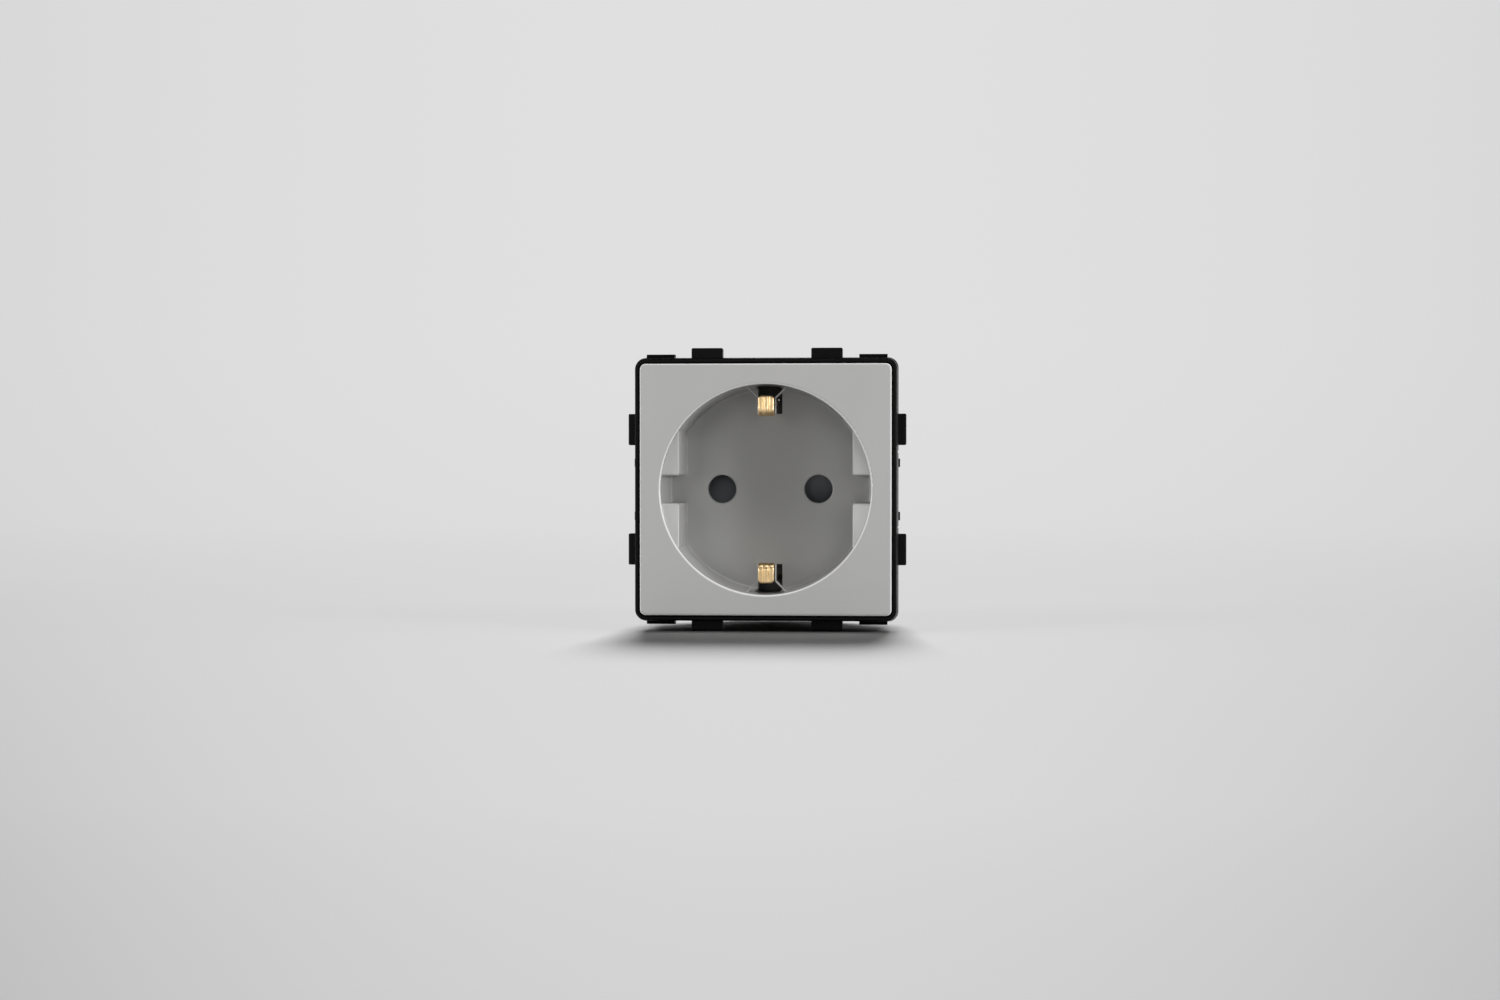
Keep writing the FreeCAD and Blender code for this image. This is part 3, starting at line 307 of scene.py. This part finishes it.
def dress_nodes(materials):
    """Every carried-over node gets the material of its slot."""
    slots = {row["node"]: row["material_slot"] for row in frame["record"]["subparts"]}
    for name, item in frame["nodes"].items():
        if not item.material_slots:
            item.data.materials.append(None)
        for slot in item.material_slots:
            slot.material = materials[slots[name]]


# Insulating collars that close the slots of the shutter base round the legs of the earth clips

COLLAR_HALF_WIDTH = 1.78 * MM
COLLAR_INNER_Z = 13.6 * MM
COLLAR_OUTER_Z = 18.15 * MM
COLLAR_FRONT_Y = 15.55 * MM
COLLAR_REAR_Y = 16.05 * MM
LEG_HALF_WIDTH = 1.48 * MM
LEG_INNER_Z = 17.04 * MM
LEG_OUTER_Z = 17.78 * MM


def make_collar(name, side, material):
    """Flat collar with a window for the leg; side is 1 for the upper clip, -1 for the lower."""
    outer = ((-COLLAR_HALF_WIDTH, COLLAR_INNER_Z), (COLLAR_HALF_WIDTH, COLLAR_INNER_Z),
             (COLLAR_HALF_WIDTH, COLLAR_OUTER_Z), (-COLLAR_HALF_WIDTH, COLLAR_OUTER_Z))
    window = ((-LEG_HALF_WIDTH, LEG_INNER_Z), (LEG_HALF_WIDTH, LEG_INNER_Z),
              (LEG_HALF_WIDTH, LEG_OUTER_Z), (-LEG_HALF_WIDTH, LEG_OUTER_Z))
    vertices = []
    for y in (COLLAR_FRONT_Y, COLLAR_REAR_Y):
        vertices += [(side * x, y, side * z) for x, z in outer + window]
    faces = []
    for a in range(4):
        b = (a + 1) % 4
        faces += [(a, b, b + 4, a + 4), (b + 8, a + 8, a + 12, b + 12)]
        faces += [(b, a, a + 8, b + 8), (a + 4, b + 4, b + 12, a + 12)]
    mesh = bpy.data.meshes.new(name)
    mesh.from_pydata(vertices, [], faces)
    mesh.materials.append(material)
    collar = bpy.data.objects.new(name, mesh)
    bpy.context.collection.objects.link(collar)
    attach(collar, "socket")


# Torsion spring of one bent wire, which winds up as the shutter turns

WIRE_R = 0.2 * MM
COIL_R = 3.6 * MM
COIL_TURNS = 2.7
COIL_STEPS_PER_TURN = 48
LEG_BEND_R = 0.5 * MM
LEG_BEND_STEPS = 8
SHUTTER_LEG_END_R = 5.0 * MM
BASE_LEG_END_R = 8.6 * MM
WIRE_SIDES = 16
WIRE_END_ROUND = 0.35


def spring_line(first_y, last_y):
    """Centre line of the wire: the shutter's leg and bend, the turns, the base's bend and leg."""
    centre_r = COIL_R + LEG_BEND_R
    lean = math.asin(LEG_BEND_R / centre_r)
    total = 2 * math.pi * COIL_TURNS

    def at(out, across, angle, y):
        """Point at a distance out along a ray, and across it in the coil's turning sense."""
        x = out * math.cos(angle) - across * math.sin(angle)
        z = -out * math.sin(angle) - across * math.cos(angle)
        return Vector((x, y, z))

    def leg(end_r, angle, sense, y):
        """From a leg's end to where its bend meets the coil."""
        bend_out = centre_r * math.cos(lean)
        points = [at(end_r, 0, angle, y)]
        for step in range(LEG_BEND_STEPS):
            turn = (math.pi / 2 - lean) * step / LEG_BEND_STEPS
            out = bend_out - LEG_BEND_R * math.sin(turn)
            points.append(at(out, sense * LEG_BEND_R * (1 - math.cos(turn)), angle, y))
        return points

    points = leg(SHUTTER_LEG_END_R, 0, 1, first_y)
    steps = round(COIL_TURNS * COIL_STEPS_PER_TURN)
    for step in range(steps + 1):
        share = step / steps
        angle = lean + (total - 2 * lean) * share
        points.append(at(COIL_R, 0, angle, first_y + (last_y - first_y) * share))
    return points + leg(BASE_LEG_END_R, total, -1, last_y)[::-1]


def wire_mesh(name, points):
    """Round wire along a line that is never parallel to Y, with its ends a little rounded."""
    first = points[0]
    last = points[-1]
    start = first + (points[1] - first).normalized() * WIRE_R * WIRE_END_ROUND
    end = last + (points[-2] - last).normalized() * WIRE_R * WIRE_END_ROUND
    line = [first, start] + points[1:-1] + [end, last]
    tip_r = WIRE_R * (1 - WIRE_END_ROUND)
    radii = [tip_r] + [WIRE_R] * (len(line) - 2) + [tip_r]
    vertices = []
    for index, point in enumerate(line):
        ahead = line[min(index + 1, len(line) - 1)] - line[max(index - 1, 0)]
        side = ahead.cross(Vector((0, 1, 0))).normalized()
        up = side.cross(ahead).normalized()
        for corner in range(WIRE_SIDES):
            turn = 2 * math.pi * corner / WIRE_SIDES
            vertices.append(point + (side * math.cos(turn) + up * math.sin(turn)) * radii[index])
    top = len(vertices) - 1
    faces = [tuple(range(WIRE_SIDES)), tuple(range(top, top - WIRE_SIDES, -1))]
    for ring in range(len(line) - 1):
        for corner in range(WIRE_SIDES):
            a = ring * WIRE_SIDES + corner
            b = ring * WIRE_SIDES + (corner + 1) % WIRE_SIDES
            faces.append((b, a, a + WIRE_SIDES, b + WIRE_SIDES))
    mesh = bpy.data.meshes.new(name)
    mesh.from_pydata(vertices, [], faces)
    mesh.shade_smooth()
    return mesh


def make_spring(material):
    """The bent wire, which takes the place of the rigid spring."""
    low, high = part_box("shutter_spring")
    first_y = low[1] + WIRE_R
    last_y = high[1] - WIRE_R
    mesh = wire_mesh("bent_wire_spring", spring_line(first_y, last_y))
    mesh.materials.append(material)
    spring = bpy.data.objects.new("bent_wire_spring", mesh)
    bpy.context.collection.objects.link(spring)
    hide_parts("shutter_spring")
    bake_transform(spring)


# Stage, lamps and camera

SWEEP_FRONT_Y = -1.6
SWEEP_BEND_Y = 0.75
SWEEP_BEND_R = 0.9
SWEEP_TOP_Z = 2.4
SWEEP_HALF_WIDTH = 2.4
SWEEP_ARC_STEPS = 24

# Paper tone by distance behind the face plate, a painted shading that sets how bright the lit floor
# looks from front to back, and the backdrop's tone as the camera sees it
FLOOR_PAINTED_SHADING = ((-0.32, 0.80), (-0.24, 0.79), (-0.14, 0.72), (0.0, 0.62), (0.08, 0.57),
               (0.2, 0.50))
PAPER_ROUGHNESS = 0.9
BOUNCE_SHARE = 0.5
ROOM_LIGHT = 0.045
BACKDROP_TONE = 0.745
BACKDROP_FOOT_TONE = 0.687
BACKDROP_FOOT_Y = 0.1
BACKDROP_TOP_Y = 1.2
BACKDROP_FROM_Y = 0.04
BACKDROP_FULL_Y = 0.22

# How much painted shade darkens the paper to the sides, near the front and at the backdrop
SIDE_FALL_FRONT = 1.7
SIDE_FALL_BACK = 0.7
SIDE_FALL_FRONT_Y = -0.32
SIDE_FALL_BACK_Y = 0.12
SIDE_FALL_ORIGIN_X = 0.026
SIDE_FALL_ORIGIN_Y = -0.458
SIDE_FALL_LEAN = 0.064
SIDE_FALL_LOWEST = 0.8

# Nodes that throw only the weaker part of the shadow
FRONT_NODES = ("carrier_frame", "front_cover")


def painted_side_shade(tree, parts):
    """Painted shade: one in the middle, and less to the sides of a wedge that opens away from the
    camera.
    """
    strength = map_range(tree, parts.outputs["Y"], SIDE_FALL_FRONT_Y, SIDE_FALL_BACK_Y,
                         SIDE_FALL_FRONT, SIDE_FALL_BACK)
    away = calculate(tree, "SUBTRACT", parts.outputs["Y"], SIDE_FALL_ORIGIN_Y)
    across = calculate(tree, "SUBTRACT", parts.outputs["X"], SIDE_FALL_ORIGIN_X)
    slant = calculate(tree, "DIVIDE", across, away)
    aside = calculate(tree, "ADD", slant, SIDE_FALL_LEAN)
    squared = calculate(tree, "MULTIPLY", aside, aside)
    fall = calculate(tree, "MULTIPLY", squared, strength)
    left = calculate(tree, "SUBTRACT", 1.0, fall)
    return calculate(tree, "MAXIMUM", left, SIDE_FALL_LOWEST)


def tone_ramp(tree, value, tones):
    """Grey by a coordinate in metres, from pairs of coordinate and tone."""
    first, last = tones[0][0], tones[-1][0]
    ramp = tree.nodes.new("ShaderNodeValToRGB")
    for _ in range(len(tones) - 2):
        ramp.color_ramp.elements.new(0.5)
    for element, (position, tone) in zip(ramp.color_ramp.elements, tones):
        element.position = (position - first) / (last - first)
        element.color = (tone, tone, tone, 1.0)
    tree.links.new(map_range(tree, value, first, last), ramp.inputs["Fac"])
    return ramp.outputs["Color"]


def sweep_paper():
    """Matt paper that throws little light back at the socket, with painted shading from front to
    back, painted shade to the sides, and a backdrop whose tone rises a little towards the top,
    darkened to the sides by that painted shade.
    """
    material, tree, shader = new_material("sweep_paper", (0.7, 0.7, 0.7), PAPER_ROUGHNESS,
                                          specular=0.0)
    parts = object_axes(tree)
    fall = painted_side_shade(tree, parts)
    path = tree.nodes.new("ShaderNodeLightPath")
    share = map_range(tree, path.outputs["Is Diffuse Ray"], to_min=1.0, to_max=BOUNCE_SHARE)
    dimmed = tree.nodes.new("ShaderNodeVectorMath")
    dimmed.operation = "SCALE"
    # Painted shading: the paper's tone by distance, scaled by the painted shade to the sides
    tree.links.new(tone_ramp(tree, parts.outputs["Y"], FLOOR_PAINTED_SHADING), dimmed.inputs["Vector"])
    tree.links.new(calculate(tree, "MULTIPLY", share, fall), dimmed.inputs["Scale"])
    link(tree, dimmed, "Vector", shader, "Base Color")
    backdrop = tree.nodes.new("ShaderNodeEmission")
    tone = map_range(tree, parts.outputs["Y"], BACKDROP_FOOT_Y, BACKDROP_TOP_Y,
                     BACKDROP_FOOT_TONE, BACKDROP_TONE)
    # The backdrop's glow is darkened to the sides by the same painted shade
    tree.links.new(calculate(tree, "MULTIPLY", tone, fall), backdrop.inputs["Strength"])
    behind = tree.nodes.new("ShaderNodeMapRange")
    behind.interpolation_type = "SMOOTHSTEP"
    behind.inputs["From Min"].default_value = BACKDROP_FROM_Y
    behind.inputs["From Max"].default_value = BACKDROP_FULL_Y
    link(tree, parts, "Y", behind, "Value")
    seen = calculate(tree, "MULTIPLY", behind.outputs["Result"], path.outputs["Is Camera Ray"])
    mix = tree.nodes.new("ShaderNodeMixShader")
    tree.links.new(seen, mix.inputs[0])
    tree.links.new(shader.outputs[0], mix.inputs[1])
    tree.links.new(backdrop.outputs[0], mix.inputs[2])
    link(tree, mix, "Shader", tree.nodes["Material Output"], "Surface")
    return material


def make_sweep():
    """Pale floor that bends up into the backdrop."""
    profile = [(SWEEP_FRONT_Y, FLOOR_Z)]
    for step in range(SWEEP_ARC_STEPS + 1):
        angle = math.pi / 2 * step / SWEEP_ARC_STEPS
        y = SWEEP_BEND_Y + SWEEP_BEND_R * math.sin(angle)
        z = FLOOR_Z + SWEEP_BEND_R * (1 - math.cos(angle))
        profile.append((y, z))
    profile.append((SWEEP_BEND_Y + SWEEP_BEND_R, SWEEP_TOP_Z))
    vertices = [(x, y, z) for y, z in profile for x in (-SWEEP_HALF_WIDTH, SWEEP_HALF_WIDTH)]
    faces = [(2 * i, 2 * i + 1, 2 * i + 3, 2 * i + 2) for i in range(len(profile) - 1)]
    mesh = bpy.data.meshes.new("sweep")
    mesh.from_pydata(vertices, [], faces)
    mesh.shade_smooth()
    sweep = bpy.data.objects.new("sweep", mesh)
    bpy.context.collection.objects.link(sweep)
    mesh.materials.append(sweep_paper())
    sweep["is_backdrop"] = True
    return sweep


def area_lamp(name, place, target, width, height, power, lights, shadows_of=None):
    """Rectangular lamp. It lights one collection, with shadows of all or of one collection."""
    data = bpy.data.lights.new(name, "AREA")
    data.shape = "RECTANGLE"
    data.size = width
    data.size_y = height
    data.energy = power
    lamp = bpy.data.objects.new(name, data)
    lamp.location = place
    aim = Vector(target) - Vector(place)
    lamp.rotation_euler = aim.to_track_quat("-Z", "Y").to_euler()
    bpy.context.collection.objects.link(lamp)
    lamp.light_linking.receiver_collection = lights
    if shadows_of is not None:
        lamp.light_linking.blocker_collection = shadows_of


def studio_world():
    """Dim room light. To the camera it has the backdrop's tone, where a view misses the sweep."""
    world = bpy.data.worlds.new("studio")
    world.use_nodes = True
    tree = world.node_tree
    path = tree.nodes.new("ShaderNodeLightPath")
    strength = map_range(tree, path.outputs["Is Camera Ray"], to_min=ROOM_LIGHT,
                         to_max=BACKDROP_TONE)
    background = tree.nodes["Background"]
    background.inputs["Color"].default_value = (1.0, 1.0, 1.0, 1.0)
    tree.links.new(strength, background.inputs["Strength"])
    return world


def collection_of(name, objects):
    made = bpy.data.collections.new(name)
    for item in objects:
        made.objects.link(item)
    return made


def make_light(sweep):
    """Lamps behind throw the soft shadow to the front, and lamps in front light the socket."""
    bpy.context.scene.world = studio_world()
    nodes = frame["nodes"]
    socket = collection_of("socket_pieces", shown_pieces())
    paper = collection_of("paper", [sweep])
    clips = collection_of("clips", [nodes["earth_yoke"]])
    core = collection_of("core", [nodes[name] for name in nodes if name not in FRONT_NODES])
    middle = (0.0, 0.0, 0.0)
    behind = (0.0, 1.05, 1.08)
    before = (0.0, -0.1, 0.0)
    area_lamp("back_lamp", behind, before, 0.32, 0.65, 10.0, paper)
    area_lamp("core_lamp", behind, before, 0.32, 0.65, 23.0, paper, core)
    area_lamp("left_fill", (-0.95, -0.6, 0.55), middle, 0.5, 0.4, 1.6, paper)
    area_lamp("right_fill", (0.95, -0.6, 0.55), middle, 0.5, 0.4, 1.6, paper)
    area_lamp("top_lamp", (0.25, -0.5, 0.9), middle, 0.5, 0.4, 4.4, socket)
    area_lamp("left_lamp", (-1.05, -0.45, 0.16), middle, 0.6, 0.35, 6.2, socket)
    area_lamp("right_lamp", (1.05, -0.45, 0.16), middle, 0.6, 0.35, 8.2, socket)
    area_lamp("left_card", (-0.36, -1.1, 0.08), middle, 0.3, 0.25, 1.1, socket)
    area_lamp("right_card", (0.27, -1.1, 0.1), middle, 0.3, 0.25, 0.8, socket)
    area_lamp("clip_card", (-0.1, -1.1, 0.15), middle, 0.8, 0.4, 0.12, clips)


# The photograph's view: a pixel of the 1500 wide picture is 1/5.29 mm at the face plate.
CAMERA_RIGHT = 25.75 * MM
CAMERA_UP = 3.3 * MM
CAMERA_AWAY = 450.0 * MM
AIM_X = -2.89 * MM
AIM_Z = -1.97 * MM
LENS_MM = 57.1
SENSOR_MM = 36.0


def make_camera():
    """The scene's camera, in front of the socket and a little to its right."""
    data = bpy.data.cameras.new("camera")
    data.lens = LENS_MM
    data.sensor_width = SENSOR_MM
    data.clip_start = 0.01
    data.clip_end = 20.0
    camera = bpy.data.objects.new("camera", data)
    camera.location = (CAMERA_RIGHT, FACE_Y - CAMERA_AWAY, CAMERA_UP)
    aim = Vector((AIM_X, FACE_Y, AIM_Z)) - camera.location
    camera.rotation_euler = aim.to_track_quat("-Z", "Y").to_euler()
    bpy.context.collection.objects.link(camera)
    bpy.context.scene.camera = camera


bpy.context.scene.view_settings.view_transform = "Standard"
materials = make_materials()
dress_nodes(materials)
for clip_name, clip_side in (("upper", 1), ("lower", -1)):
    make_collar(clip_name + "_clip_collar", clip_side, materials["dark_insulator"])
make_spring(materials["spring_steel"])
make_light(make_sweep())
make_camera()
